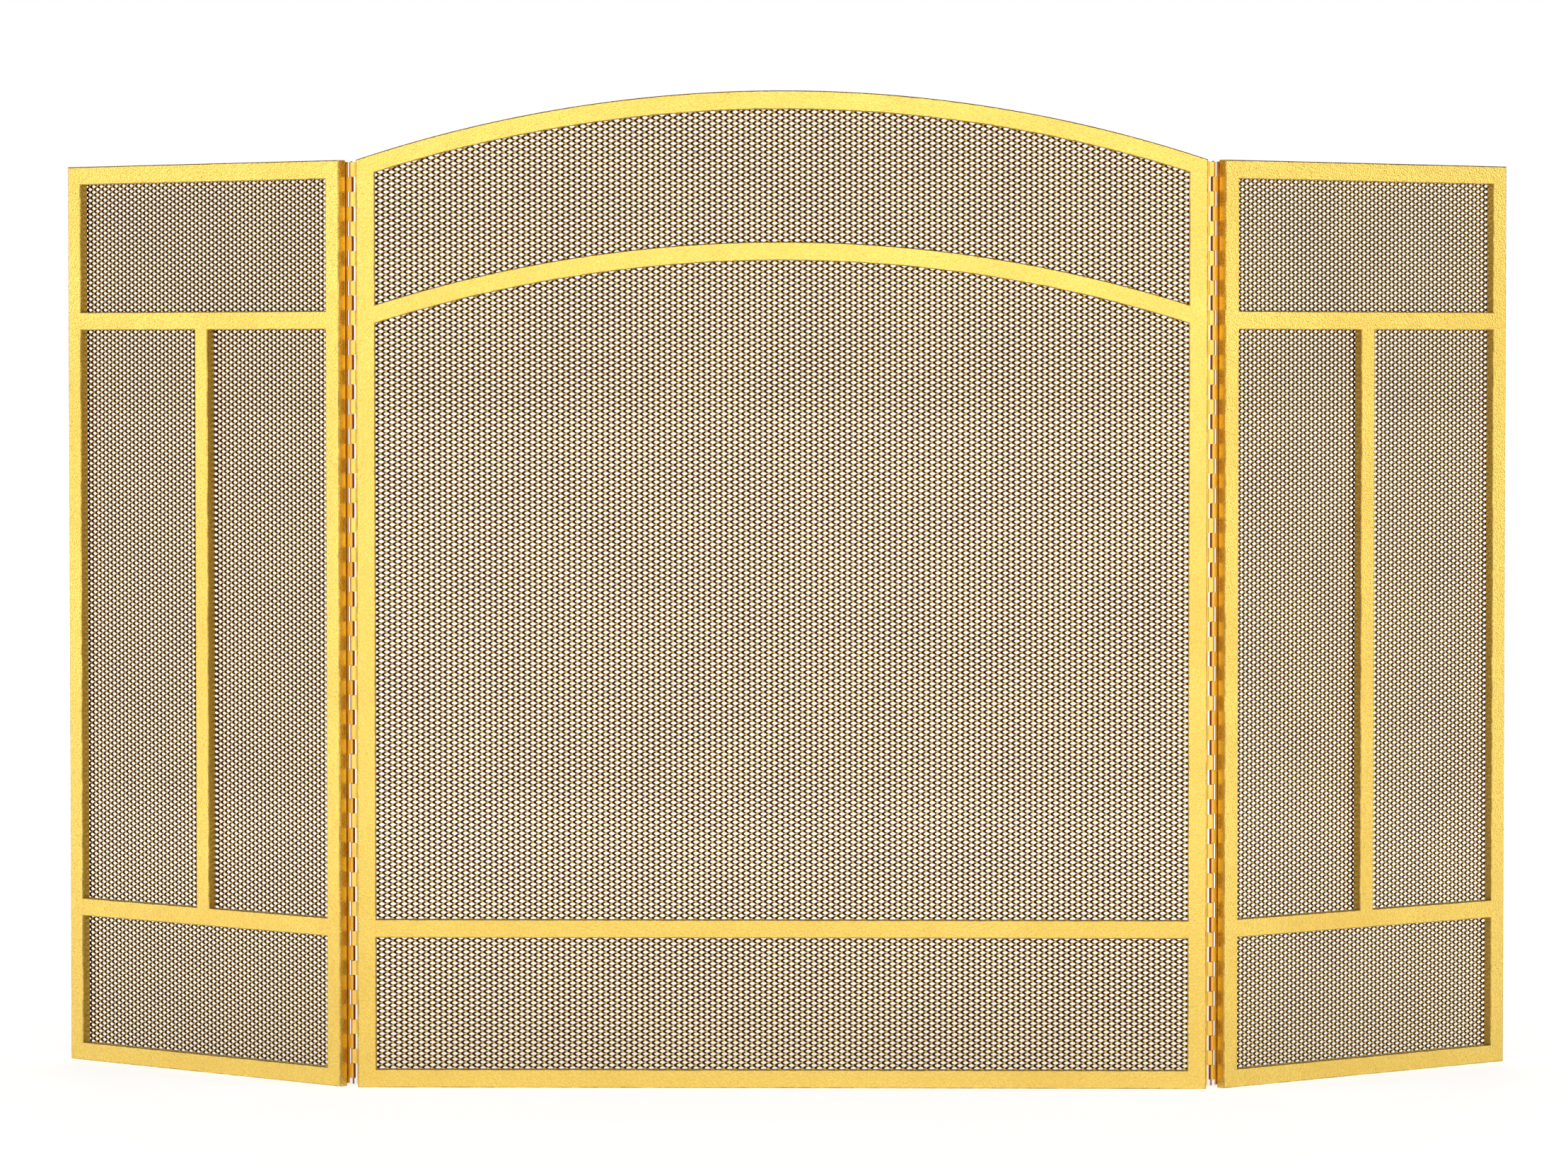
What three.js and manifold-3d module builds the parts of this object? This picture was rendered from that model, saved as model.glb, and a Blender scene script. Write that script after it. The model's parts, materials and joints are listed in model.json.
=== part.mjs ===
// A folding fireplace screen: an arched centre panel and two wings on full-height continuous hinges.
// Each panel is a mitred frame of rectangular tube with a sheet of expanded metal welded behind it.
// Millimetres, +Z up, front towards -Y. The origin is under the middle of the centre panel's bottom rail.
import * as THREE from "three";
import { mergeVertices } from "three/addons/utils/BufferGeometryUtils.js";
import Module from "manifold-3d";

// Panels
const centreWidth = 728; // across the two stiles of the centre panel
const sideHeight = 796; // stile height, the same on all three panels
const archRise = 59; // crown of the arch above the stiles
const wingWidth = 339;
const bandHeight = 113; // the narrow openings under the top rail and over the bottom rail
const restAngle = 40; // degrees that each wing stands back from the centre panel

// Frame tube
const barFace = 16; // seen from the front
const barDepth = 9; // front to back
const tubeWall = 1.2;
const jointGap = 0.3; // left between two pieces that meet
const archSteps = 24; // straight stretches in each arc

// Continuous hinge
const leafLand = 8; // leaf width on the stile's back face
const leafThickness = 1;
const barrelRadius = 2;
const rollAngle = 290; // degrees of the barrel that a knuckle closes
const rollSteps = 7;
const pinOffset = 4.7; // pin axis beyond the edge of each stile
const pinClearance = 0.2; // around the pin, inside the knuckles
const pinSides = 8;
const notchClearance = 1.2; // leaf edge to the other leaf's knuckles
const knuckleLength = 12.7;
const knuckleClearance = 0.2; // end to end between two knuckles
const hingeLift = 7; // lowest knuckle above the floor
const leafLift = 2.5; // lower end of the leaves above the floor
const leafTopMargin = 1.5; // upper end of the leaves below the stile's top
const pinDrop = 5; // pin below the lowest knuckle
const pinRise = 0.8; // pin above the highest knuckle

// Expanded-metal sheet
const meshThickness = 1;
const meshEdgeGap = 1; // between the sheet's edge and the hinge leaf on the same stile

// Places that follow from the sizes
const frontY = -barDepth / 2;
const backY = barDepth / 2;
const halfCentre = centreWidth / 2;
const halfOpening = halfCentre - barFace;
const archRadius = (halfCentre ** 2 + archRise ** 2) / (2 * archRise);
const bandPitch = barFace + bandHeight; // from one rail's edge to the same edge of the next
const lowerRailTop = bandPitch + barFace;
const pinX = halfCentre + pinOffset;
const pinY = backY + jointGap + barrelRadius;
const leafReach = pinOffset - barrelRadius - notchClearance; // leaf beyond the stile's edge
const leafTop = sideHeight - leafTopMargin;
const knuckleCount = 2 * Math.floor((leafTop - hingeLift) / (2 * knuckleLength));
const hingeTop = hingeLift + knuckleCount * knuckleLength; // top of the highest knuckle
const meshLap = barFace - leafLand - meshEdgeGap; // sheet over the frame's back face
const meshY = backY + jointGap;

const frameGold = new THREE.MeshStandardMaterial({ color: 0xe8c65c, roughness: 0.35, metalness: 0.9 });
const meshGold = new THREE.MeshStandardMaterial({ color: 0x9a7434, roughness: 0.45, metalness: 0.9 });
const hingeGold = new THREE.MeshStandardMaterial({ color: 0xdca544, roughness: 0.35, metalness: 0.95 });
const pinSteel = new THREE.MeshStandardMaterial({ color: 0x8a7a5a, roughness: 0.4, metalness: 1 });

const wasm = await Module();
wasm.setup();

function solidFrom(geometry) {
  const bare = geometry.clone();
  bare.deleteAttribute("normal");
  bare.deleteAttribute("uv");
  const merged = mergeVertices(bare, 1e-4);
  const vertProperties = new Float32Array(merged.attributes.position.array);
  const triVerts = new Uint32Array(merged.index.array);
  return new wasm.Manifold(new wasm.Mesh({ numProp: 3, vertProperties, triVerts }));
}

function geometryFrom(solid) {
  const mesh = solid.getMesh();
  const geometry = new THREE.BufferGeometry();
  geometry.setAttribute("position", new THREE.BufferAttribute(mesh.vertProperties, 3));
  geometry.setIndex(new THREE.BufferAttribute(mesh.triVerts, 1));
  const flat = geometry.toNonIndexed();
  flat.computeVertexNormals();
  return flat;
}

const shapeFrom = (points) => new THREE.Shape(points.map(([u, v]) => new THREE.Vector2(u, v)));

// An outline in the panel's plane, as [x, z] points, with thickness from y0 to y1.
function upright(points, y0, y1) {
  const geometry = new THREE.ExtrudeGeometry(shapeFrom(points), { depth: y1 - y0, bevelEnabled: false });
  geometry.rotateX(Math.PI / 2);
  geometry.translate(0, y1, 0);
  return geometry;
}

// An outline in plan, as [x, y] points, standing from z0 to z1.
function standing(points, z0, z1) {
  const geometry = new THREE.ExtrudeGeometry(shapeFrom(points), { depth: z1 - z0, bevelEnabled: false });
  geometry.translate(0, 0, z0);
  return geometry;
}

const between = (a, b, share) => [a[0] + (b[0] - a[0]) * share, a[1] + (b[1] - a[1]) * share];

// Moves both ends of a line of points along the line: outwards if distance is above 0.
function stretched(points, distance) {
  const moved = points.map((point) => [...point]);
  const last = points.length - 1;
  for (const [end, next] of [[0, 1], [last, last - 1]]) {
    const du = points[end][0] - points[next][0];
    const dv = points[end][1] - points[next][1];
    const length = Math.hypot(du, dv);
    moved[end] = [points[end][0] + (du / length) * distance, points[end][1] + (dv / length) * distance];
  }
  return moved;
}

// A length of open-ended tube between its two long edges. Their end points give the cut at each end.
function tube(edgeA, edgeB) {
  const a = stretched(edgeA, -jointGap / 2);
  const b = stretched(edgeB, -jointGap / 2);
  const share = tubeWall / barFace;
  const boreA = stretched(a.map((point, i) => between(point, b[i], share)), tubeWall);
  const boreB = stretched(a.map((point, i) => between(point, b[i], 1 - share)), tubeWall);
  const bar = solidFrom(upright([...a, ...b.reverse()], frontY, backY));
  const bore = solidFrom(upright([...boreA, ...boreB.reverse()], frontY + tubeWall, backY - tubeWall));
  return geometryFrom(bar.subtract(bore));
}

// The arch's outer edge over a span of x from -halfSpan to halfSpan, lowered by drop.
const archZ = (x) => sideHeight + archRise - archRadius + Math.sqrt(archRadius ** 2 - x ** 2);
function archLine(halfSpan, drop) {
  return Array.from({ length: archSteps + 1 }, (_, i) => {
    const x = halfSpan * ((2 * i) / archSteps - 1);
    return [x, archZ(x) - drop];
  });
}

function place(group, name, geometry, material) {
  const mesh = new THREE.Mesh(geometry, material);
  mesh.name = name;
  group.add(mesh);
}

function centrePanel() {
  const panel = new THREE.Group();
  const innerTop = archZ(halfOpening) - barFace;
  for (const [name, side] of [["left", -1], ["right", 1]]) {
    const outer = [[side * halfCentre, 0], [side * halfCentre, sideHeight]];
    const inner = [[side * halfOpening, barFace], [side * halfOpening, innerTop]];
    place(panel, `centre_${name}_stile`, tube(outer, inner), frameGold);
  }
  const across = (half, z) => [[-half, z], [half, z]];
  const bottomRail = tube(across(halfCentre, 0), across(halfOpening, barFace));
  place(panel, "centre_bottom_rail", bottomRail, frameGold);
  const archRail = tube(archLine(halfCentre, 0), archLine(halfOpening, barFace));
  place(panel, "centre_arch_rail", archRail, frameGold);

  const butt = halfOpening - jointGap / 2; // the two inner rails end square against the stiles
  place(panel, "centre_lower_rail", tube(across(butt, bandPitch), across(butt, lowerRailTop)), frameGold);
  const bandArch = tube(archLine(butt, bandPitch), archLine(butt, bandPitch + barFace));
  place(panel, "centre_band_arch", bandArch, frameGold);

  const half = halfOpening + meshLap;
  const low = barFace - meshLap;
  const sheet = [[half, low], [-half, low], ...archLine(half, low)];
  place(panel, "centre_mesh", upright(sheet, meshY, meshY + meshThickness), meshGold);
  return panel;
}

// A wing about its own pin axis: distances run outwards from the hinged edge, towards side.
function wingPanel(name, side) {
  const wing = new THREE.Group();
  const inside = wingWidth - barFace;
  const top = sideHeight - barFace;
  const at = (distance) => side * (pinOffset + distance);
  const up = (distance, z0, z1) => [[at(distance), z0], [at(distance), z1]];
  const along = (z, from, to) => [[at(from), z], [at(to), z]];
  const add = (piece, geometry, material) => {
    geometry.translate(0, -pinY, 0);
    place(wing, `${name}_wing_${piece}`, geometry, material);
  };
  const addTube = (piece, edgeA, edgeB) => add(piece, tube(edgeA, edgeB), frameGold);

  addTube("hinge_stile", up(0, 0, sideHeight), up(barFace, barFace, top));
  addTube("outer_stile", up(wingWidth, 0, sideHeight), up(inside, barFace, top));
  addTube("top_rail", along(sideHeight, 0, wingWidth), along(top, barFace, inside));
  addTube("bottom_rail", along(0, 0, wingWidth), along(barFace, barFace, inside));

  const from = barFace + jointGap / 2;
  const to = inside - jointGap / 2;
  const upperRailTop = sideHeight - bandPitch;
  const upperRailUnder = upperRailTop - barFace;
  addTube("upper_rail", along(upperRailTop, from, to), along(upperRailUnder, from, to));
  addTube("lower_rail", along(lowerRailTop, from, to), along(bandPitch, from, to));
  const middle = (wingWidth - barFace) / 2;
  const barLow = lowerRailTop + jointGap / 2;
  const barHigh = upperRailUnder - jointGap / 2;
  addTube("middle_bar", up(middle, barLow, barHigh), up(middle + barFace, barLow, barHigh));

  const edge = barFace - meshLap;
  const far = wingWidth - edge;
  const high = sideHeight - edge;
  const sheet = [[at(edge), edge], [at(far), edge], [at(far), high], [at(edge), high]];
  add("mesh", upright(sheet, meshY, meshY + meshThickness), meshGold);
  return wing;
}

// One rolled knuckle and its tab in plan, with the pin at the origin and the stile towards -side.
function knuckleOutline(side) {
  const boreRadius = barrelRadius - leafThickness;
  const tabOverlap = 0.2; // tab into the leaf, so that the two join
  const rolled = (radius, step) => {
    const angle = -Math.PI / 2 + THREE.MathUtils.degToRad((rollAngle * step) / rollSteps);
    return [radius * Math.cos(angle), radius * Math.sin(angle)];
  };
  const outer = Array.from({ length: rollSteps + 1 }, (_, step) => rolled(barrelRadius, step));
  const inner = Array.from({ length: rollSteps + 1 }, (_, step) => rolled(boreRadius, rollSteps - step));
  const root = leafReach - pinOffset - tabOverlap;
  const tab = [[root, -boreRadius], [root, -barrelRadius]];
  return [...tab, ...outer, ...inner].map(([x, y]) => [side * x, y]);
}

// One leaf about its pin. firstKnuckle, 0 or 1, is its highest knuckle counted from the top.
function hingeLeaf(side, firstKnuckle) {
  const land = -side * (pinOffset + leafLand);
  const reach = -side * (pinOffset - leafReach);
  const face = leafThickness - barrelRadius;
  const plate = [[land, -barrelRadius], [reach, -barrelRadius], [reach, face], [land, face]];
  let leaf = solidFrom(standing(plate, leafLift, leafTop));
  const outline = knuckleOutline(side);
  for (let i = firstKnuckle; i < knuckleCount; i += 2) {
    const top = hingeTop - i * knuckleLength - knuckleClearance / 2;
    leaf = leaf.add(solidFrom(standing(outline, top - knuckleLength + knuckleClearance, top)));
  }
  return geometryFrom(leaf);
}

function hingePin() {
  const radius = barrelRadius - leafThickness - pinClearance;
  const low = hingeLift - pinDrop;
  const length = hingeTop + pinRise - low;
  const geometry = new THREE.CylinderGeometry(radius, radius, length, pinSides);
  geometry.rotateX(Math.PI / 2);
  geometry.translate(0, 0, low + length / 2);
  return geometry;
}

const screen = new THREE.Group();
screen.add(centrePanel());
for (const [name, side] of [["left", -1], ["right", 1]]) {
  const hinge = new THREE.Group();
  hinge.position.set(side * pinX, pinY, 0);
  place(hinge, `${name}_hinge_centre_leaf`, hingeLeaf(side, 0), hingeGold);
  place(hinge, `${name}_hinge_pin`, hingePin(), pinSteel);

  const wing = wingPanel(name, side);
  place(wing, `${name}_hinge_wing_leaf`, hingeLeaf(-side, 1), hingeGold);
  wing.rotation.z = THREE.MathUtils.degToRad(side * restAngle);
  hinge.add(wing);
  screen.add(hinge);
}

export default screen;
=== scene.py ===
import json
import math
import bmesh
import bpy
from mathutils import Matrix, Vector


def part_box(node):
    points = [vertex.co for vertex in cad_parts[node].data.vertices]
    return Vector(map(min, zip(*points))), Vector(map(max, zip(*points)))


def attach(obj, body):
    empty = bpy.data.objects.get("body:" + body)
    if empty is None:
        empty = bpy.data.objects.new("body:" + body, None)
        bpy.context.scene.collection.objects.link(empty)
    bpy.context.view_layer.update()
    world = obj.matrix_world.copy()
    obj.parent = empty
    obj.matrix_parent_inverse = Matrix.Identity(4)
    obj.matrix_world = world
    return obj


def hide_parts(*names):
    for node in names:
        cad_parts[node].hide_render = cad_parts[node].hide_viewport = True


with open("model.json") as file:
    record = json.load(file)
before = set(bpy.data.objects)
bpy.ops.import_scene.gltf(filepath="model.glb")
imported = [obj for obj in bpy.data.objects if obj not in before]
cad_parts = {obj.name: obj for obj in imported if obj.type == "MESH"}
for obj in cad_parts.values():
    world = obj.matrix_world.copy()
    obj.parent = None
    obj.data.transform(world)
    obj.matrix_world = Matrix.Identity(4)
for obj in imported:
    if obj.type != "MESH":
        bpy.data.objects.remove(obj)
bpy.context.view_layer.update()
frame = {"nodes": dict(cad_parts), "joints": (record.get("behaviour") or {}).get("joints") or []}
scene = bpy.context.scene

# Everything below is in millimetres until a mesh is written, which is in metres.
mm = 0.001
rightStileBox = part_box("centre_right_stile")
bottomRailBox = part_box("centre_bottom_rail")
screen = {
    "halfCentre": rightStileBox[1].x / mm,
    "sideHeight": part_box("left_wing_top_rail")[1].z / mm,
    "crown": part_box("centre_arch_rail")[1].z / mm,
    "barFace": bottomRailBox[1].z / mm,
    "frontY": bottomRailBox[0].y / mm,
    "backY": bottomRailBox[1].y / mm,
    "lowerRailFoot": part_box("centre_lower_rail")[0].z / mm,
    "wingWidth": 339,
    "restAngle": 40,  # degrees that each wing stands back
}
screen["rise"] = screen["crown"] - screen["sideHeight"]
screen["halfOpening"] = screen["halfCentre"] - screen["barFace"]
screen["archRadius"] = (screen["halfCentre"] ** 2 + screen["rise"] ** 2) / (2 * screen["rise"])
pinX, pinY = next([v / mm for v in joint["pos_m"][:2]] for joint in frame["joints"]
                  if joint["child"] == "right_wing")
pinOffset = pinX - screen["halfCentre"]
sides = {"left": -1, "right": 1}
print("frame loaded:", len(frame["nodes"]), "pieces, pin", round(pinOffset, 2), "mm beyond the stile")


def archZ(x):
    return screen["crown"] - screen["archRadius"] + math.sqrt(screen["archRadius"] ** 2 - x * x)


def pinMatrix(side):
    return Matrix.Translation(Vector((side * pinX, pinY, 0)) * mm)


def restTurn(side):
    return Matrix.Rotation(math.radians(side * screen["restAngle"]), 4, "Z")


def wingMatrix(side):
    # from a wing lying in the centre panel's plane, with its pin at x 0, to its place at rest
    return pinMatrix(side) @ restTurn(side) @ Matrix.Translation(Vector((0, -pinY * mm, 0)))


def newPiece(name, mesh, body, slotName, *nodes):
    piece = bpy.data.objects.new(name, mesh)
    scene.collection.objects.link(piece)
    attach(piece, body)
    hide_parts(*nodes)
    return piece


# node helpers, for geometry trees and for shader groups
def wire(tree, source, target):
    tree.links.new(source, target)


def feed(tree, value, socket):
    # a link from another node's socket, or a plain value
    if isinstance(value, bpy.types.NodeSocket):
        wire(tree, value, socket)
    else:
        socket.default_value = value


def newTree(name, kind, inputs, outputs):
    tree = bpy.data.node_groups.new(name, kind)
    for label, socketType, value in inputs:
        socket = tree.interface.new_socket(label, in_out="INPUT", socket_type=socketType)
        if value is not None:
            socket.default_value = value
    for label, socketType in outputs:
        tree.interface.new_socket(label, in_out="OUTPUT", socket_type=socketType)
    start = tree.nodes.new("NodeGroupInput")
    end = tree.nodes.new("NodeGroupOutput")
    return tree, start.outputs, end.inputs


def mathNode(tree, operation, a, b=None, c=None):
    node = tree.nodes.new("ShaderNodeMath")
    node.operation = operation
    for socket, value in zip(node.inputs, (a, b, c)):
        if value is not None:
            feed(tree, value, socket)
    return node.outputs[0]


def vectorNode(tree, parts):
    node = tree.nodes.new("ShaderNodeCombineXYZ")
    for axis, value in parts.items():
        wire(tree, value, node.inputs[axis])
    return node.outputs[0]


def mixColour(tree, factor, a, b):
    node = tree.nodes.new("ShaderNodeMix")
    node.data_type = "RGBA"
    # 6 and 7 are the two colours going in, 2 is the colour coming out
    for socket, value in ((node.inputs["Factor"], factor), (node.inputs[6], a), (node.inputs[7], b)):
        feed(tree, value, socket)
    return node.outputs[2]


def rangeNode(tree, value, fromMin, fromMax, toMin=0.0, toMax=1.0):
    node = tree.nodes.new("ShaderNodeMapRange")
    wire(tree, value, node.inputs["Value"])
    limits = {"From Min": fromMin, "From Max": fromMax, "To Min": toMin, "To Max": toMax}
    for label, number in limits.items():
        node.inputs[label].default_value = number
    return node.outputs["Result"]


def noiseNode(tree, scale, form):
    node = tree.nodes.new("ShaderNodeTexNoise")
    wire(tree, tree.nodes.new("ShaderNodeTexCoord").outputs["Object"], node.inputs["Vector"])
    wire(tree, scale, node.inputs["Scale"])
    for label, value in form.items():
        node.inputs[label].default_value = value
    return node.outputs["Fac"]


def attributeNode(tree, name):
    node = tree.nodes.new("ShaderNodeAttribute")
    node.attribute_name = name
    return node.outputs["Fac"]


# effects that several materials share; a range is the part of a noise that is spread over 0 to 1
effects = {
    "patch": {"Detail": 4, "Roughness": 0.6, "Distortion": 0.4}, "patchRange": (0.34, 0.66),
    "speck": {"Detail": 3, "Roughness": 0.6, "Distortion": 0.0}, "speckRange": (0.3, 0.7),
    "grain": {"Detail": 2, "Roughness": 0.5, "Distortion": 0.0},
    "break": {"Detail": 5, "Roughness": 0.7, "Distortion": 0.0}, "edgeMaskRange": (0.85, 1.1),
}


def makePlatingGroup():
    tree, given, result = newTree(
        "platingTone", "ShaderNodeTree",
        [("Patch Scale", "NodeSocketFloat", 7.0), ("Speck Scale", "NodeSocketFloat", 900.0)],
        [("Patches", "NodeSocketFloat"), ("Specks", "NodeSocketFloat")])
    broad = noiseNode(tree, given["Patch Scale"], effects["patch"])
    fine = noiseNode(tree, given["Speck Scale"], effects["speck"])
    wire(tree, rangeNode(tree, broad, *effects["patchRange"]), result["Patches"])
    wire(tree, rangeNode(tree, fine, *effects["speckRange"]), result["Specks"])
    return tree


def makePeelGroup():
    tree, given, result = newTree(
        "orangePeel", "ShaderNodeTree",
        [("Peel Scale", "NodeSocketFloat", 650.0), ("Ripple Scale", "NodeSocketFloat", 90.0),
         ("Ripple", "NodeSocketFloat", 0.35)],
        [("Height", "NodeSocketFloat")])
    peel = noiseNode(tree, given["Peel Scale"], effects["grain"])
    ripple = noiseNode(tree, given["Ripple Scale"], effects["grain"])
    wire(tree, mathNode(tree, "MULTIPLY_ADD", ripple, given["Ripple"], peel), result["Height"])
    return tree


# a mask along the rounded edges, broken up by noise: worn edges with painted shade on them
def makeEdgeWearShadeGroup():
    tree, given, result = newTree(
        "edgeWearAndShade", "ShaderNodeTree",
        [("Rim", "NodeSocketFloat", 0.0), ("Break Scale", "NodeSocketFloat", 60.0),
         ("Reach", "NodeSocketFloat", 0.5)],
        [("Mask", "NodeSocketFloat")])
    broken = noiseNode(tree, given["Break Scale"], effects["break"])
    strength = mathNode(tree, "MULTIPLY", given["Rim"], given["Reach"])
    reached = mathNode(tree, "ADD", strength, broken)
    wire(tree, rangeNode(tree, reached, *effects["edgeMaskRange"]), result["Mask"])
    return tree


shaderGroups = {"plating": makePlatingGroup(), "peel": makePeelGroup(), "edgeWearShade": makeEdgeWearShadeGroup()}


def placeGroup(tree, group, values):
    node = tree.nodes.new("ShaderNodeGroup")
    node.node_tree = shaderGroups[group]
    for label, value in values.items():
        feed(tree, value, node.inputs[label])
    return node.outputs


def newMaterial(name, metallic, roughness):
    material = bpy.data.materials.new(name)
    material.use_nodes = True
    shader = material.node_tree.nodes["Principled BSDF"]
    shader.inputs["Metallic"].default_value = metallic
    shader.inputs["Roughness"].default_value = roughness
    return material, material.node_tree, shader


def newMetal(name, finish):
    # what all the metals have: a tone that varies, and a fine grain in the surface
    material, tree, shader = newMaterial(name, 1.0, finish["roughness"][0])
    tone = placeGroup(tree, "plating", {
        "Patch Scale": finish["patchScale"], "Speck Scale": finish["speckScale"]})
    peel = placeGroup(tree, "peel", {
        "Peel Scale": finish["peelScale"], "Ripple Scale": finish["rippleScale"],
        "Ripple": finish["ripple"]})
    bump = tree.nodes.new("ShaderNodeBump")
    bump.inputs["Strength"].default_value = finish["peelStrength"]
    bump.inputs["Distance"].default_value = finish["peelDepth"]
    wire(tree, peel["Height"], bump.inputs["Height"])
    wire(tree, bump.outputs["Normal"], shader.inputs["Normal"])
    return material, tree, shader, tone


def edgeWearShadeMask(tree, scale, reach):
    return placeGroup(tree, "edgeWearShade", {"Rim": attributeNode(tree, "rim"), "Break Scale": scale,
                                     "Reach": reach})["Mask"]


def roughBetween(tree, mask, finish):
    return rangeNode(tree, mask, 0.0, 1.0, *finish["roughness"])


frameFinish = {
    "gold": (0.90, 0.645, 0.158, 1), "deepGold": (0.87, 0.60, 0.138, 1), "wornShadedEdge": (0.30, 0.20, 0.06, 1),
    "speck": (0.62, 0.42, 0.075, 1), "speckDepth": 0.6, "jointTone": 0.4,
    "edgeBreakScale": 70, "edgeMaskReach": 0.52, "edgeDarkDepth": 0.75, "wearRoughness": 0.12,
    "roughness": (0.27, 0.36), "patchScale": 7, "speckScale": 620,
    "peelScale": 760, "rippleScale": 90, "ripple": 0.3, "peelStrength": 1.0, "peelDepth": 0.0005,
}


def makeFrameMaterial(finish):
    material, tree, shader, tone = newMetal("frameGold", finish)
    edgeWearShade = edgeWearShadeMask(tree, finish["edgeBreakScale"], finish["edgeMaskReach"])
    gold = mixColour(tree, tone["Patches"], finish["gold"], finish["deepGold"])
    welded = mathNode(tree, "MULTIPLY", attributeNode(tree, "joint"), finish["jointTone"])
    heated = mixColour(tree, welded, gold, finish["deepGold"])
    specks = mathNode(tree, "MULTIPLY", tone["Specks"], finish["speckDepth"])
    speckled = mixColour(tree, specks, heated, finish["speck"])
    # the rounded edges turn dark olive: partly wear, partly painted shade
    rubbedShaded = mathNode(tree, "MULTIPLY", edgeWearShade, finish["edgeDarkDepth"])
    wire(tree, mixColour(tree, rubbedShaded, speckled, finish["wornShadedEdge"]), shader.inputs["Base Color"])
    gloss = roughBetween(tree, tone["Patches"], finish)
    rough = mathNode(tree, "MULTIPLY_ADD", edgeWearShade, finish["wearRoughness"], gloss)
    wire(tree, rough, shader.inputs["Roughness"])
    return material


sheetFinish = {
    "gold": (0.66, 0.44, 0.11, 1), "dull": (0.52, 0.33, 0.085, 1), "shadeBrown": (0.028, 0.009, 0.004, 1),
    "shadeRange": (0.08, 0.36), "speckDark": 0.12,  # painted shade: where the bent side of each opening and the cut walls turn brown
    "roughness": (0.36, 0.5), "patchScale": 14, "speckScale": 1500,
    "peelScale": 1400, "rippleScale": 300, "ripple": 0.3, "peelStrength": 0.3, "peelDepth": 0.00005,
}


def makeSheetMaterial(finish):
    material, tree, shader, tone = newMetal("sheetGold", finish)
    shadedSide = attributeNode(tree, "shadedSide")  # 1 on the left side of each opening: painted shade on the bent strand
    shadedWall = attributeNode(tree, "shadedWall")  # 1 on the cut faces, which take painted shade as well
    gold = mixColour(tree, tone["Patches"], finish["gold"], finish["dull"])
    shadedParts = mathNode(tree, "MAXIMUM", shadedSide, shadedWall)
    shadeMask = mathNode(tree, "MULTIPLY_ADD", tone["Specks"], finish["speckDark"], shadedParts)
    dark = rangeNode(tree, shadeMask, *finish["shadeRange"])
    wire(tree, mixColour(tree, dark, gold, finish["shadeBrown"]), shader.inputs["Base Color"])
    wire(tree, roughBetween(tree, tone["Specks"], finish), shader.inputs["Roughness"])
    return material


hingeFinish = {
    "gold": (0.90, 0.60, 0.13, 1), "deepGold": (0.84, 0.50, 0.10, 1), "wornShadedEdge": (0.30, 0.13, 0.04, 1),
    # the dark red below is painted shade for the barrels' outer sides and bores
    "barrelShade": (0.26, 0.06, 0.018, 1), "edgeBreakScale": 140, "edgeMaskReach": 0.5, "edgeDarkDepth": 0.7,
    "roughness": (0.3, 0.42), "patchScale": 30, "speckScale": 1200,
    "peelScale": 900, "rippleScale": 200, "ripple": 0.3, "peelStrength": 0.3, "peelDepth": 0.00005,
}


def makeHingeMaterial(finish):
    material, tree, shader, tone = newMetal("hingeGold", finish)
    edgeWearShade = edgeWearShadeMask(tree, finish["edgeBreakScale"], finish["edgeMaskReach"])
    gold = mixColour(tree, tone["Patches"], finish["gold"], finish["deepGold"])
    # the eased edges turn dark: partly wear, partly painted shade
    rubbedShaded = mathNode(tree, "MULTIPLY", edgeWearShade, finish["edgeDarkDepth"])
    wornShadedEdge = mixColour(tree, rubbedShaded, gold, finish["wornShadedEdge"])
    barrelShadeMask = attributeNode(tree, "barrelShade")  # painted shade on the outer side and in the bore of each barrel
    wire(tree, mixColour(tree, barrelShadeMask, wornShadedEdge, finish["barrelShade"]), shader.inputs["Base Color"])
    wire(tree, roughBetween(tree, tone["Specks"], finish), shader.inputs["Roughness"])
    return material


pinFinish = {
    "steel": (0.42, 0.34, 0.24, 1), "dark": (0.16, 0.07, 0.04, 1),
    "roughness": (0.3, 0.5), "patchScale": 60, "speckScale": 1600,
    "peelScale": 1500, "rippleScale": 400, "ripple": 0.2, "peelStrength": 0.3, "peelDepth": 0.00003,
}


def makePinMaterial(finish):
    material, tree, shader, tone = newMetal("pinSteel", finish)
    steel = mixColour(tree, tone["Patches"], finish["steel"], finish["dark"])
    wire(tree, steel, shader.inputs["Base Color"])
    wire(tree, roughBetween(tree, tone["Specks"], finish), shader.inputs["Roughness"])
    return material


frameGold = makeFrameMaterial(frameFinish)
sheetGold = makeSheetMaterial(sheetFinish)
hingeGold = makeHingeMaterial(hingeFinish)
pinSteel = makePinMaterial(pinFinish)
print("materials made: frame, sheet, hinge and pin")

# the frames' rectangular tubes
bar = {
    "edgeRadius": 1.1, "edgeSteps": 4,
    "edgeFadeBand": 1.1, "rimEnds": 0.55,  # strip beside each rounded edge over which its worn look and painted shade fade in, and how much of them the edge starts with
    "arcSteps": 96, "jointReach": 14,  # how far the dressing of a welded joint shows along the bar
}


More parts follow.
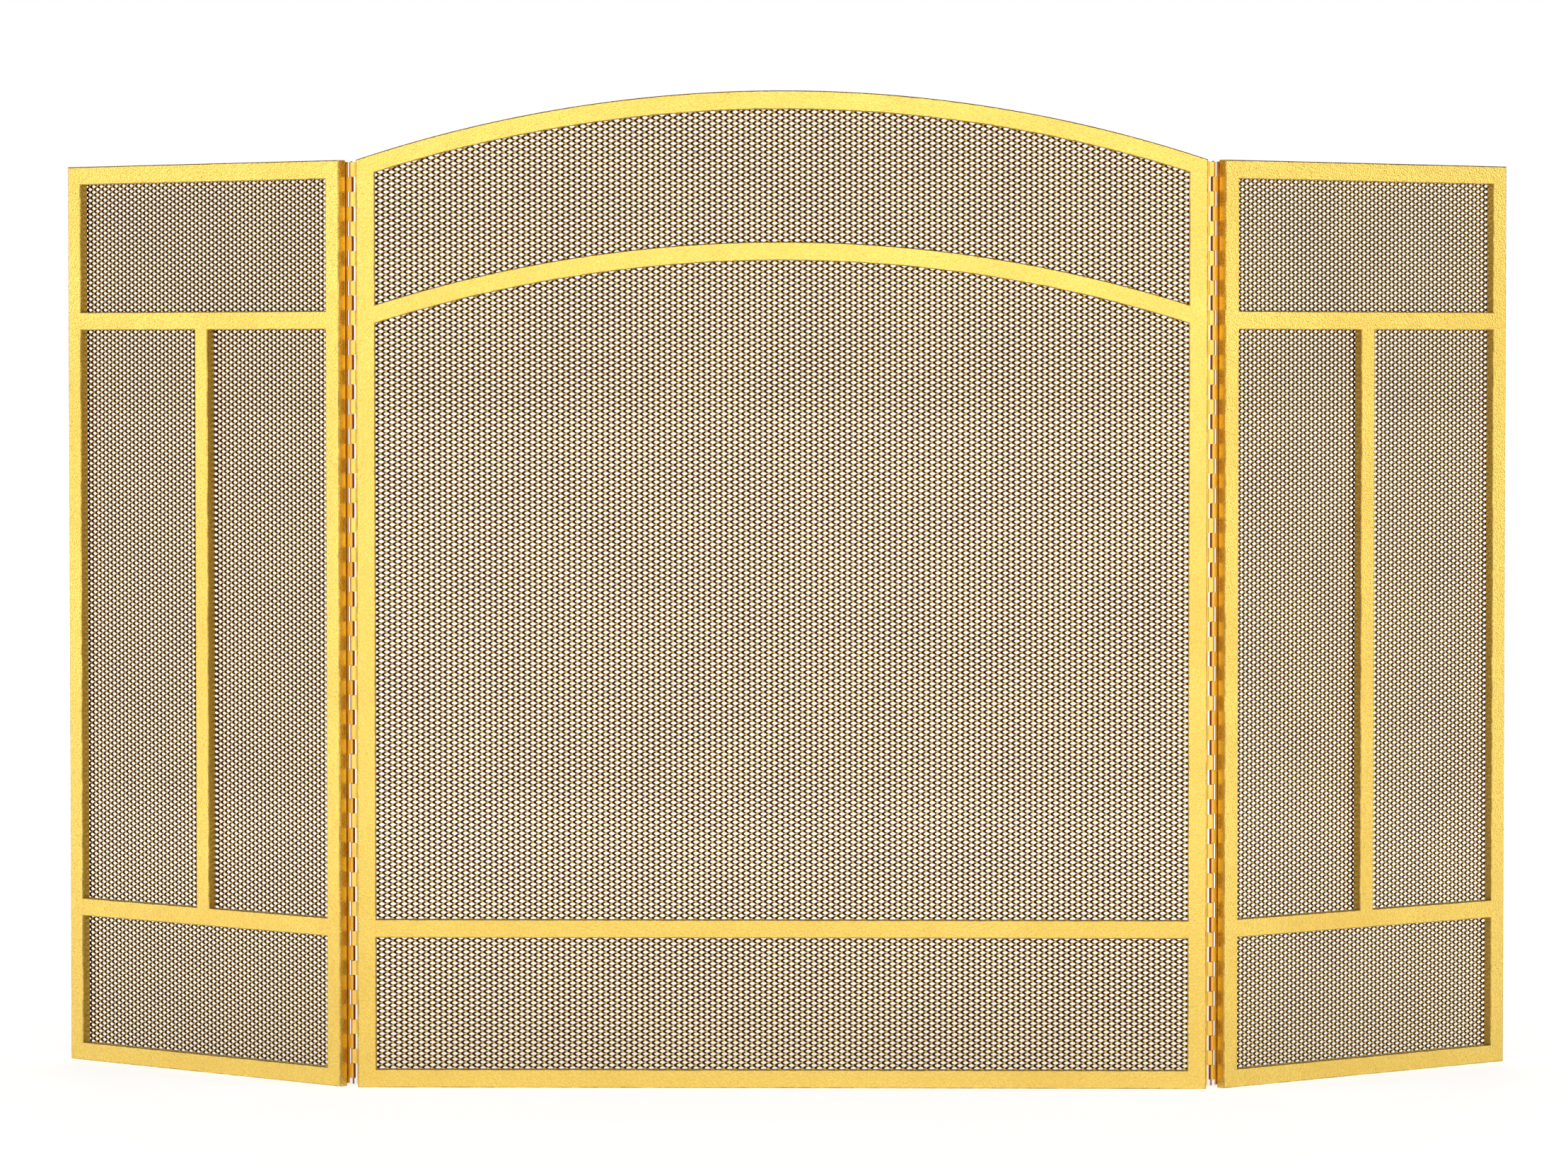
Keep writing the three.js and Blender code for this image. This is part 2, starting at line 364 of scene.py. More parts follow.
def barProfile():
    # (distance from edge A, y, normal across, normal in depth, rim) once round the tube
    face, front, back = screen["barFace"], screen["frontY"], screen["backY"]
    r, band = bar["edgeRadius"], bar["edgeFadeBand"]
    corners = [(face - r, front + r, -90), (face - r, back - r, 0), (r, back - r, 90), (r, front + r, 180)]
    points = []
    for u, y, start in corners:
        s, c = math.sin(math.radians(start)), math.cos(math.radians(start))
        # a point on the flat before the corner
        points.append((u + r * c + band * s, y + r * s - band * c, c, s, 0.0))
        for step in range(bar["edgeSteps"] + 1):
            a = math.radians(start + 90 * step / bar["edgeSteps"])
            rim = 1.0 if 0 < step < bar["edgeSteps"] else bar["rimEnds"]
            points.append((u + r * math.cos(a), y + r * math.sin(a), math.cos(a), math.sin(a), rim))
        e = math.radians(start + 90)
        points.append((u + r * math.cos(e) - band * math.sin(e), y + r * math.sin(e) + band * math.cos(e),
                       math.cos(e), math.sin(e), 0.0))
    return points


def barMesh(name, edgeA, edgeB, matrix):
    # a closed tube length between its two long edges, whose end points give the cut at each end
    profile = barProfile()
    count, stations = len(profile), len(edgeA)
    mesh = bpy.data.meshes.new(name)
    points, normals, rims, joints = [], [], [], []
    total = sum(math.dist(edgeA[i], edgeA[i + 1]) for i in range(stations - 1))
    run = 0
    turn = matrix.to_3x3()
    for i in range(stations):
        before, after = edgeA[max(i - 1, 0)], edgeA[min(i + 1, stations - 1)]
        along = Vector((after[0] - before[0], after[1] - before[1])).normalized()
        across = Vector((-along.y, along.x))
        if across.dot(Vector(edgeB[i]) - Vector(edgeA[i])) < 0:
            across.negate()
        if i:
            run += math.dist(edgeA[i - 1], edgeA[i])
        for u, y, nu, ny, rim in profile:
            share = u / screen["barFace"]
            x = edgeA[i][0] + (edgeB[i][0] - edgeA[i][0]) * share
            z = edgeA[i][1] + (edgeB[i][1] - edgeA[i][1]) * share
            points.append(matrix @ Vector((x * mm, y * mm, z * mm)))
            normals.append(turn @ Vector((across.x * nu, ny, across.y * nu)))
            rims.append(rim)
            joints.append(max(0.0, 1 - min(run, total - run) / bar["jointReach"]))
    faces = []
    for i in range(stations - 1):
        for j in range(count):
            k = (j + 1) % count
            faces.append([i * count + j, i * count + k, (i + 1) * count + k, (i + 1) * count + j])
    faces.append(list(range(count))[::-1])
    faces.append([(stations - 1) * count + j for j in range(count)])
    # turn every face over if the first side face points into the tube
    a, b, c, d = (points[v] for v in faces[0])
    if (b - a).cross(d - a).dot(normals[faces[0][0]]) < 0:
        faces = [face[::-1] for face in faces]
    mesh.from_pydata(points, [], faces)
    mesh.attributes.new("rim", "FLOAT", "POINT").data.foreach_set("value", rims)
    mesh.attributes.new("joint", "FLOAT", "POINT").data.foreach_set("value", joints)
    mesh.materials.append(frameGold)
    mesh.polygons.foreach_set("use_smooth", [True] * len(faces))
    caps = len(faces) - 2
    loopNormals = []
    for polygon in mesh.polygons:
        for vertex in polygon.vertices:
            loopNormals.append(polygon.normal if polygon.index >= caps else normals[vertex])
    mesh.normals_split_custom_set(loopNormals)
    return mesh


def straightEdges(a0, a1, b0, b1):
    # four stations, so that the dressing near each joint has somewhere to fade
    a0, a1, b0, b1 = Vector(a0), Vector(a1), Vector(b0), Vector(b1)
    step = (a1 - a0).normalized() * bar["jointReach"]
    return ([tuple(v) for v in (a0, a0 + step, a1 - step, a1)],
            [tuple(v) for v in (b0, b0 + step, b1 - step, b1)])


def archEdge(halfSpan, drop):
    across = [halfSpan * (2 * i / bar["arcSteps"] - 1) for i in range(bar["arcSteps"] + 1)]
    return [(x, archZ(x) - drop) for x in across]


def makeCentreBars():
    half, opening, face = screen["halfCentre"], screen["halfOpening"], screen["barFace"]
    top, band = screen["sideHeight"], screen["lowerRailFoot"]
    still = Matrix.Identity(4)
    butt = opening + bar["edgeRadius"]  # the inner rails run over the stiles' rounded edges
    innerTop = archZ(opening) - face
    for name, side in sides.items():
        edges = straightEdges((side * half, 0), (side * half, top),
                              (side * opening, face), (side * opening, innerTop))
        newPiece(f"{name}StileTube", barMesh(f"{name}StileTube", *edges, still),
                 "centre_panel", "frame", f"centre_{name}_stile")
    rails = {
        "bottomRailTube": (straightEdges((-half, 0), (half, 0), (-opening, face), (opening, face)),
                           "centre_bottom_rail"),
        "lowerRailTube": (straightEdges((-butt, band), (butt, band),
                                        (-butt, band + face), (butt, band + face)), "centre_lower_rail"),
        "bandArchTube": ((archEdge(butt, band), archEdge(butt, band + face)), "centre_band_arch"),
        "topArchTube": ((archEdge(half, 0), archEdge(opening, face)), "centre_arch_rail"),
    }
    for name, (edges, node) in rails.items():
        newPiece(name, barMesh(name, *edges, still), "centre_panel", "frame", node)


def makeWingBars(name, side):
    matrix = wingMatrix(side)
    face, width, top = screen["barFace"], screen["wingWidth"], screen["sideHeight"]
    inside, band, r = width - face, screen["lowerRailFoot"], bar["edgeRadius"]

    def at(distance, z):
        return (side * (pinOffset + distance), z)

    start, end = face - r, inside + r
    middle = (width - face) / 2
    low, high = band + face - r, top - band - face + r
    bars = {
        "HingeStile": (at(0, 0), at(0, top), at(face, face), at(face, top - face), "hinge_stile"),
        "OuterStile": (at(width, 0), at(width, top), at(inside, face), at(inside, top - face),
                       "outer_stile"),
        "TopRail": (at(0, top), at(width, top), at(face, top - face), at(inside, top - face), "top_rail"),
        "BottomRail": (at(0, 0), at(width, 0), at(face, face), at(inside, face), "bottom_rail"),
        "UpperRail": (at(start, top - band), at(end, top - band), at(start, top - band - face),
                      at(end, top - band - face), "upper_rail"),
        "LowerRail": (at(start, band + face), at(end, band + face), at(start, band), at(end, band),
                      "lower_rail"),
        "MiddleBar": (at(middle, low), at(middle, high), at(middle + face, low), at(middle + face, high),
                      "middle_bar"),
    }
    for part, (a0, a1, b0, b1, node) in bars.items():
        title = f"{name}Wing{part}Tube"
        newPiece(title, barMesh(title, *straightEdges(a0, a1, b0, b1), matrix),
                 f"{name}_wing", "frame", f"{name}_wing_{node}")


makeCentreBars()
for name, side in sides.items():
    makeWingBars(name, side)
print("frame tubes made")


# geometry trees, baked to plain meshes
def bakeTree(name, tree, values, matrix, source=None):
    # runs the tree once on an object of its own and keeps the plain mesh that it gives
    host = bpy.data.objects.new(name + "Host", source or bpy.data.meshes.new(name + "Host"))
    scene.collection.objects.link(host)
    modifier = host.modifiers.new("nodes", "NODES")
    modifier.node_group = tree
    for item in tree.interface.items_tree:
        if item.item_type == "SOCKET" and item.in_out == "INPUT" and item.name in values:
            modifier[item.identifier] = values[item.name]
    depsgraph = bpy.context.evaluated_depsgraph_get()
    mesh = bpy.data.meshes.new_from_object(host.evaluated_get(depsgraph), preserve_all_data_layers=True,
                                           depsgraph=depsgraph)
    host.modifiers.remove(modifier)
    bpy.data.objects.remove(host)
    mesh.name = name
    mesh.transform(matrix)
    return mesh


def templateObject(name, mesh):
    template = bpy.data.objects.new(name, mesh)
    scene.collection.objects.link(template)
    return template


def scatterShape(tree, points, shape, size=None):
    # a copy of another object's mesh on every point
    source = tree.nodes.new("GeometryNodeObjectInfo")
    wire(tree, shape, source.inputs["Object"])
    scatter = tree.nodes.new("GeometryNodeInstanceOnPoints")
    wire(tree, points, scatter.inputs["Points"])
    wire(tree, source.outputs["Geometry"], scatter.inputs["Instance"])
    if size is not None:
        wire(tree, size, scatter.inputs["Scale"])
    return scatter.outputs[0]


def realizeAll(tree, geometry):
    single = tree.nodes.new("GeometryNodeRealizeInstances")
    wire(tree, geometry, single.inputs[0])
    return single.outputs[0]


def endTree(tree, geometry, given, result):
    paint = tree.nodes.new("GeometryNodeSetMaterial")
    wire(tree, realizeAll(tree, geometry), paint.inputs["Geometry"])
    wire(tree, given["Material"], paint.inputs["Material"])
    wire(tree, paint.outputs[0], result["Geometry"])
    return tree


sheet = {
    "pitchAcross": 9.65, "pitchUp": 4.87,  # from one opening to the next of its own row and column
    "openingWide": 5.0, "openingHigh": 2.74, "shoulderAcross": 1.42, "shoulderUp": 0.93,
    "relief": 0.35, "gauge": 0.45,  # how far a strand's upper edge stands forward, and the steel itself
    "lap": 7,  # over the frame's back faces, as far as the hinge leaves allow
    "frontY": 4.8, "mergeWithin": 0.02,
    "centreBands": 5, "wingBands": 2,  # one sheet, kept in lengths that are light enough to handle
}


def strandUnit():
    # one bond and the two strands right of it, facing the back: repeated, it is the whole sheet
    a, h = sheet["openingWide"] / 2, sheet["openingHigh"] / 2
    b, c = sheet["shoulderAcross"], sheet["shoulderUp"]
    ring = {"R": (a, 0), "UR": (b, c), "U": (0, h), "UL": (-b, c),
            "L": (-a, 0), "DL": (-b, -c), "D": (0, -h), "DR": (b, -c)}
    halfP, halfQ = sheet["pitchAcross"] / 2, sheet["pitchUp"] / 2
    shift = {"O": (0, 0), "E": (2 * halfP, 0), "NE": (halfP, halfQ), "SE": (halfP, -halfQ)}
    quads = [
        ("O.R", "SE.U", "E.L", "NE.D"),
        ("O.U", "O.UR", "NE.DL", "NE.L"), ("O.UR", "O.R", "NE.D", "NE.DL"),
        ("O.D", "SE.L", "SE.UL", "O.DR"), ("O.DR", "SE.UL", "SE.U", "O.R"),
    ]
    names = sorted({corner for quad in quads for corner in quad})
    points, lifts, shadedSides = [], [], []
    for corner in names:
        hole, role = corner.split(".")
        x, z = ring[role][0] + shift[hole][0], ring[role][1] + shift[hole][1]
        points.append((x * mm, 0, z * mm))
        lifts.append(1.0 if role in ("UL", "U", "UR") else 0.0)
        # the left side of each opening is marked for painted shade
        shadedSides.append(1.0 if role in ("L", "UL", "DL") else 0.0)
    faces = []
    for quad in quads:
        order = [names.index(corner) for corner in quad]
        p0, p1, p2 = (Vector(points[i]) for i in order[:3])
        faces.append(order if (p1 - p0).cross(p2 - p0).y > 0 else order[::-1])
    mesh = bpy.data.meshes.new("strandUnit")
    mesh.from_pydata(points, [], faces)
    mesh.attributes.new("lift", "FLOAT", "POINT").data.foreach_set("value", lifts)
    mesh.attributes.new("shadedSide", "FLOAT", "POINT").data.foreach_set("value", shadedSides)
    return mesh


def mergeNear(tree, geometry):
    weld = tree.nodes.new("GeometryNodeMergeByDistance")
    weld.inputs["Distance"].default_value = sheet["mergeWithin"] * mm
    wire(tree, geometry, weld.inputs["Geometry"])
    return weld.outputs[0]


def makeSheetTree():
    tree, given, result = newTree("expandedSheet", "GeometryNodeTree", [
        ("Geometry", "NodeSocketGeometry", None), ("Strand Unit", "NodeSocketObject", None),
        ("Pitch Across", "NodeSocketFloat", 0.01), ("Pitch Up", "NodeSocketFloat", 0.005),
        ("Columns", "NodeSocketInt", 10), ("First Row", "NodeSocketInt", 0), ("Rows", "NodeSocketInt", 10),
        ("Left", "NodeSocketFloat", 0.0), ("Right", "NodeSocketFloat", 0.1),
        ("Bottom", "NodeSocketFloat", 0.0), ("Top", "NodeSocketFloat", 0.1),
        ("Arch Curvature", "NodeSocketFloat", 0.0),
        ("Relief", "NodeSocketFloat", 0.0006), ("Gauge", "NodeSocketFloat", 0.0005),
        ("Depth", "NodeSocketFloat", 0.005), ("Material", "NodeSocketMaterial", None)],
        [("Geometry", "NodeSocketGeometry")])

    # one point for each opening, row by row, every other row half a pitch along
    index = tree.nodes.new("GeometryNodeInputIndex").outputs[0]
    column = mathNode(tree, "MODULO", index, given["Columns"])
    nudged = mathNode(tree, "ADD", index, 0.01)  # so that a whole row isn't rounded down
    rowIndex = mathNode(tree, "FLOOR", mathNode(tree, "DIVIDE", nudged, given["Columns"]))
    row = mathNode(tree, "ADD", rowIndex, given["First Row"])
    odd = mathNode(tree, "MODULO", row, 2.0)
    across = mathNode(tree, "MULTIPLY_ADD", odd, 0.5, column)
    upward = mathNode(tree, "MULTIPLY", row, 0.5)
    place = {"X": mathNode(tree, "MULTIPLY_ADD", across, given["Pitch Across"], given["Left"]),
             "Z": mathNode(tree, "MULTIPLY_ADD", upward, given["Pitch Up"], given["Bottom"])}
    points = tree.nodes.new("GeometryNodePoints")
    wire(tree, mathNode(tree, "MULTIPLY", given["Columns"], given["Rows"]), points.inputs["Count"])
    wire(tree, vectorNode(tree, place), points.inputs["Position"])

    # what lies outside the sheet's outline goes: past the right edge, or above the arched top
    here = tree.nodes.new("ShaderNodeSeparateXYZ")
    wire(tree, tree.nodes.new("GeometryNodeInputPosition").outputs[0], here.inputs[0])
    squared = mathNode(tree, "MULTIPLY", here.outputs["X"], here.outputs["X"])
    bend = mathNode(tree, "MULTIPLY", squared, given["Arch Curvature"])
    cubed = mathNode(tree, "MULTIPLY", mathNode(tree, "MULTIPLY", bend, bend), given["Arch Curvature"])
    # the first two terms of the arc's drop, so that a straight top is a curvature of 0
    drop = mathNode(tree, "MULTIPLY_ADD", cubed, 0.125, mathNode(tree, "MULTIPLY", bend, 0.5))
    limit = mathNode(tree, "SUBTRACT", given["Top"], drop)
    above = mathNode(tree, "GREATER_THAN", here.outputs["Z"], limit)
    beyond = mathNode(tree, "GREATER_THAN", here.outputs["X"], given["Right"])
    trim = tree.nodes.new("GeometryNodeDeleteGeometry")
    trim.domain = "POINT"
    wire(tree, points.outputs[0], trim.inputs["Geometry"])
    wire(tree, mathNode(tree, "MAXIMUM", above, beyond), trim.inputs["Selection"])
    flatSheet = mergeNear(tree, realizeAll(tree, scatterShape(tree, trim.outputs[0], given["Strand Unit"])))

    # the upper edge of every opening stands forward
    bent = tree.nodes.new("GeometryNodeInputNamedAttribute")
    bent.data_type = "FLOAT"
    bent.inputs["Name"].default_value = "lift"
    forward = mathNode(tree, "MULTIPLY", bent.outputs[0], mathNode(tree, "MULTIPLY", given["Relief"], -1.0))
    lowest = mathNode(tree, "ADD", given["Depth"], given["Relief"])
    shape = tree.nodes.new("GeometryNodeSetPosition")
    wire(tree, flatSheet, shape.inputs["Geometry"])
    wire(tree, vectorNode(tree, {"Y": mathNode(tree, "ADD", forward, lowest)}), shape.inputs["Offset"])

    # the steel's own thickness
    thicken = tree.nodes.new("GeometryNodeExtrudeMesh")
    thicken.mode = "FACES"
    thicken.inputs["Individual"].default_value = False
    wire(tree, shape.outputs[0], thicken.inputs["Mesh"])
    wire(tree, vectorNode(tree, {"Y": given["Gauge"]}), thicken.inputs["Offset"])
    # the cut walls are marked for painted shade
    wallShadeStore = tree.nodes.new("GeometryNodeStoreNamedAttribute")
    wallShadeStore.data_type = "FLOAT"
    wallShadeStore.domain = "FACE"
    wallShadeStore.inputs["Name"].default_value = "shadedWall"
    wire(tree, thicken.outputs["Mesh"], wallShadeStore.inputs["Geometry"])
    wire(tree, thicken.outputs["Side"], wallShadeStore.inputs["Value"])
    front = tree.nodes.new("GeometryNodeFlipFaces")
    wire(tree, shape.outputs[0], front.inputs[0])
    both = tree.nodes.new("GeometryNodeJoinGeometry")
    wire(tree, front.outputs[0], both.inputs[0])
    wire(tree, wallShadeStore.outputs[0], both.inputs[0])
    crisp = tree.nodes.new("GeometryNodeSetShadeSmooth")
    crisp.inputs["Shade Smooth"].default_value = False
    wire(tree, mergeNear(tree, both.outputs[0]), crisp.inputs[0])
    return endTree(tree, crisp.outputs[0], given, result)


sheetTree = makeSheetTree()
strandTemplate = templateObject("strandUnit", strandUnit())


def makeSheet(name, body, node, left, right, bottom, top, curvature, bands, matrix):
    # left, right, bottom and top are the sheet's outline: whole openings fill it, with even margins
    p, q = sheet["pitchAcross"], sheet["pitchUp"]
    overhang = (p - sheet["openingWide"]) / 2  # the bonds of every other row, past the last opening
    columns = int((right - left - overhang) / p)
    start = (left + right - columns * p - overhang) / 2
    lastColumn = start + (columns - 0.25) * p  # a quarter pitch short of where the next one would be
    rows = int((top - bottom) / (q / 2)) - 1
    first = 0
    counts = []
    for band in range(bands):
        last = round(rows * (band + 1) / bands)
        title = f"{name}{band + 1}"
        mesh = bakeTree(title, sheetTree, {
            "Strand Unit": strandTemplate, "Pitch Across": p * mm, "Pitch Up": q * mm, "Columns": columns,
            "First Row": first, "Rows": last - first, "Left": start * mm, "Right": lastColumn * mm,
            "Bottom": (bottom + q / 2) * mm, "Top": (top - q / 2) * mm, "Arch Curvature": curvature / mm,
            "Relief": sheet["relief"] * mm, "Gauge": sheet["gauge"] * mm, "Depth": sheet["frontY"] * mm,
            "Material": sheetGold}, matrix)
        newPiece(title, mesh, body, "mesh", node)
        counts.append(sum(len(polygon.vertices) - 2 for polygon in mesh.polygons))
        first = last
    print(name, "made:", bands, "lengths,", sum(counts), "triangles,", max(counts), "in the largest")


def makeSheets():
    face, lap = screen["barFace"], sheet["lap"]
    half = screen["halfOpening"] + lap
    makeSheet("centreSheet", "centre_panel", "centre_mesh", -half, half, face - lap,
              screen["crown"] - face + lap, 1 / screen["archRadius"], sheet["centreBands"],
              Matrix.Identity(4))
    for name, side in sides.items():
        near = pinOffset + face - lap
        far = pinOffset + screen["wingWidth"] - face + lap
        left, right = sorted((side * near, side * far))
        makeSheet(f"{name}WingSheet", f"{name}_wing", f"{name}_wing_mesh", left, right, face - lap,
                  screen["sideHeight"] - face + lap, 0, sheet["wingBands"], wingMatrix(side))


makeSheets()

# the two continuous hinges; the roll angle, the reach and fade of the barrels' painted shade, and the
# creases are degrees
hinge = {
    "leafLand": 8, "leafThickness": 1, "leafReach": 1.5, "leafFoot": 2.5, "leafHead": 794.5,
    "barrelRadius": 2, "rollAngle": 290, "rollSteps": 20, "rootOverlap": 0.3,
    "knuckleLength": 12.7, "knuckleGap": 0.2, "firstFoot": 7, "knucklePairs": 31,
    "edgeRadius": 0.12, "edgeFadeBand": 1.2, "rimEnds": 0.6,
    "barrelShadeReach": 62, "barrelShadeFade": 22, "crease": 30,
    "pinRadius": 0.8, "pinFoot": 2.0, "pinHead": 795.2, "pinSteps": 20, "pinCrease": 40,
    "pinEnd": ((0.6, 0.05), (0.92, 0.25), (1.0, 0.6)),  # share of the radius, distance from the end
}


def makeRepeatTree():
    tree, given, result = newTree("repeatUpwards", "GeometryNodeTree", [
        ("Geometry", "NodeSocketGeometry", None), ("Shape", "NodeSocketObject", None),
        ("Count", "NodeSocketInt", 2), ("Start", "NodeSocketVector", None),
        ("Step", "NodeSocketVector", None), ("Material", "NodeSocketMaterial", None)],
        [("Geometry", "NodeSocketGeometry")])
    line = tree.nodes.new("GeometryNodeMeshLine")
    wire(tree, given["Count"], line.inputs["Count"])
    wire(tree, given["Start"], line.inputs["Start Location"])
    wire(tree, given["Step"], line.inputs["Offset"])
    return endTree(tree, scatterShape(tree, line.outputs[0], given["Shape"]), given, result)


def prismMesh(name, outline, z0, z1, barrelShade=None):
    # an outline in plan, standing from z0 to z1, with its upper and lower edges eased
    chamfer, band, rimEnds = hinge["edgeRadius"], hinge["edgeFadeBand"], hinge["rimEnds"]
    count = len(outline)
    inset = []
    for i, point in enumerate(outline):
        before, after = Vector(outline[i - 1]), Vector(outline[(i + 1) % count])
        here = Vector(point)
        n1, n2 = (here - before).normalized(), (after - here).normalized()
        inward = Vector((-(n1 + n2).y, (n1 + n2).x))
        if inward.length > 1e-6:
            inward.normalize()
        inset.append(here + inward * chamfer)
    points, faces, rims, dull = [], [], [], []
    rings = [(inset, z0, 1.0), (outline, z0 + chamfer, rimEnds), (outline, z0 + band, 0.0),
             (outline, z1 - band, 0.0), (outline, z1 - chamfer, rimEnds), (inset, z1, 1.0)]
    for ring, z, rim in rings:
        for i, (x, y) in enumerate(ring):
            points.append((x * mm, y * mm, z * mm))
            rims.append(rim)
            dull.append(barrelShade[i] if barrelShade else 0.0)
    for level in range(len(rings) - 1):
        for i in range(count):
            k = (i + 1) % count
            low, high = level * count, (level + 1) * count
            faces.append([low + i, low + k, high + k, high + i])
    faces.append(list(range(count))[::-1])
    faces.append([(len(rings) - 1) * count + i for i in range(count)])
    mesh = bpy.data.meshes.new(name)
    mesh.from_pydata(points, [], faces)
    mesh.attributes.new("rim", "FLOAT", "POINT").data.foreach_set("value", rims)
    mesh.attributes.new("barrelShade", "FLOAT", "POINT").data.foreach_set("value", dull)
    work = bmesh.new()
    work.from_mesh(mesh)
    bmesh.ops.triangulate(work, faces=[face for face in work.faces if len(face.verts) > 4])
    bmesh.ops.recalc_face_normals(work, faces=work.faces)
    work.to_mesh(mesh)
    work.free()
    return mesh


def latheMesh(name, profile, axis, steps, mergeWithin):
    # turns a line that begins and ends on the axis into a closed shape
    work = bmesh.new()
    corners = [work.verts.new(point) for point in profile]
    edges = [work.edges.new(pair) for pair in zip(corners, corners[1:])]
    bmesh.ops.spin(work, geom=corners + edges, cent=(0, 0, 0), axis=axis, angle=math.tau, steps=steps,
                   use_merge=True)
    bmesh.ops.remove_doubles(work, verts=work.verts, dist=mergeWithin)
    bmesh.ops.recalc_face_normals(work, faces=work.faces)
    mesh = bpy.data.meshes.new(name)
    work.to_mesh(mesh)
    work.free()
    return mesh


def knuckleOutline(side):
    # in plan about the pin, counter-clockwise, with the leaf towards -side
    outer, inner = hinge["barrelRadius"], hinge["barrelRadius"] - hinge["leafThickness"]
    steps = hinge["rollSteps"]
    angles = [math.radians(-90 + hinge["rollAngle"] * i / steps) for i in range(steps + 1)]
    root = hinge["leafReach"] - pinOffset - hinge["rootOverlap"]
    points = [(root, -inner), (root, -outer)]
    points += [(outer * math.cos(a), outer * math.sin(a)) for a in angles]
    points += [(inner * math.cos(a), inner * math.sin(a)) for a in reversed(angles)]
    points = [(side * x, y) for x, y in points]
    # painted shade: dark on the outer side of the roll, away from the leaf, and all through the bore
    reach, fade = hinge["barrelShadeReach"], hinge["barrelShadeFade"]
    outside = [max(0.0, min(1.0, (reach - abs(math.degrees(a))) / fade)) for a in angles]
    dull = [0.0, 0.0] + outside + [1.0] * len(angles)
    return (points, dull) if side > 0 else (points[::-1], dull[::-1])


def shadeByAngle(mesh, degrees):
    mesh.polygons.foreach_set("use_smooth", [True] * len(mesh.polygons))
    mesh.set_sharp_from_angle(angle=math.radians(degrees))


repeatTree = makeRepeatTree()


def makeLeaf(title, side, turnsUp, body, node, matrix):
    # side is the way from the stile to the pin; turnsUp is how many knuckles the first one starts above
    t, r = hinge["leafThickness"], hinge["barrelRadius"]
    land, reach = -side * (pinOffset + hinge["leafLand"]), -side * (pinOffset - hinge["leafReach"])
    x0, x1 = sorted((land, reach))
    plate = prismMesh(title + "Plate", [(x0, -r), (x1, -r), (x1, t - r), (x0, t - r)],
                      hinge["leafFoot"], hinge["leafHead"])
    plate.materials.append(hingeGold)
    plate.transform(matrix)
    shadeByAngle(plate, hinge["crease"])
    newPiece(title + "Plate", plate, body, "hinge", node)
    length, gap = hinge["knuckleLength"], hinge["knuckleGap"]
    outline, dull = knuckleOutline(side)
    knuckle = prismMesh(title + "Knuckle", outline, gap / 2, length - gap / 2, dull)
    template = templateObject(title + "Knuckle", knuckle)
    foot = hinge["firstFoot"] + turnsUp * length
    mesh = bakeTree(title + "Barrel", repeatTree, {
        "Shape": template, "Count": hinge["knucklePairs"], "Start": (0, 0, foot * mm),
        "Step": (0, 0, 2 * length * mm), "Material": hingeGold}, matrix)
    bpy.data.objects.remove(template)
    shadeByAngle(mesh, hinge["crease"])
    newPiece(title + "Barrel", mesh, body, "hinge", node)


def makePin(title, node, matrix):
    r, foot, head = hinge["pinRadius"], hinge["pinFoot"], hinge["pinHead"]
    lower = [(r * share, foot + distance) for share, distance in hinge["pinEnd"]]
    upper = [(r * share, head - distance) for share, distance in reversed(hinge["pinEnd"])]
    profile = [(x * mm, 0, z * mm) for x, z in [(0, foot)] + lower + upper + [(0, head)]]
    mesh = latheMesh(title, profile, (0, 0, 1), hinge["pinSteps"], 1e-6)
    mesh.materials.append(pinSteel)
    mesh.transform(matrix)
    shadeByAngle(mesh, hinge["pinCrease"])
    newPiece(title, mesh, "centre_panel", "pin", node)


def makeHinges():
    for name, side in sides.items():
        still = pinMatrix(side)
        swung = still @ restTurn(side)
        makeLeaf(f"{name}CentreLeaf", side, 1, "centre_panel", f"{name}_hinge_centre_leaf", still)
        makeLeaf(f"{name}WingLeaf", -side, 0, f"{name}_wing", f"{name}_hinge_wing_leaf", swung)
        makePin(f"{name}Pin", f"{name}_hinge_pin", still)


makeHinges()
print("hinges made:", 4 * hinge["knucklePairs"], "knuckles")

# spot welds, sheet to frame and leaf to stile
spots = {
    "sheet": {"across": 4.2, "spacing": 62, "sink": 0.12},
    "leaf": {"across": 3.0, "spacing": 44, "sink": 0.1},
    "sizeSpread": 0.18, "seed": 7, "steps": 14, "crease": 35,
    "lap": 3.6,  # from an opening's edge to the row of spots behind its bar
    "railEnd": 30, "stileEnd": 20, "archEnd": 10, "leafEnd": 12,  # left free at the ends of the rows
    "archSteps": 24,
    # half of a shallow pressed dimple with a raised lip: share of its radius, share of the lip
    "dimple": ((0.0, 0.30), (0.35, 0.34), (0.6, 0.62), (0.78, 1.0), (0.9, 0.72), (1.0, 0.0), (0.96, -0.9),
               (0.0, -0.9)),
    "lip": 0.15,  # as a share of the radius
}


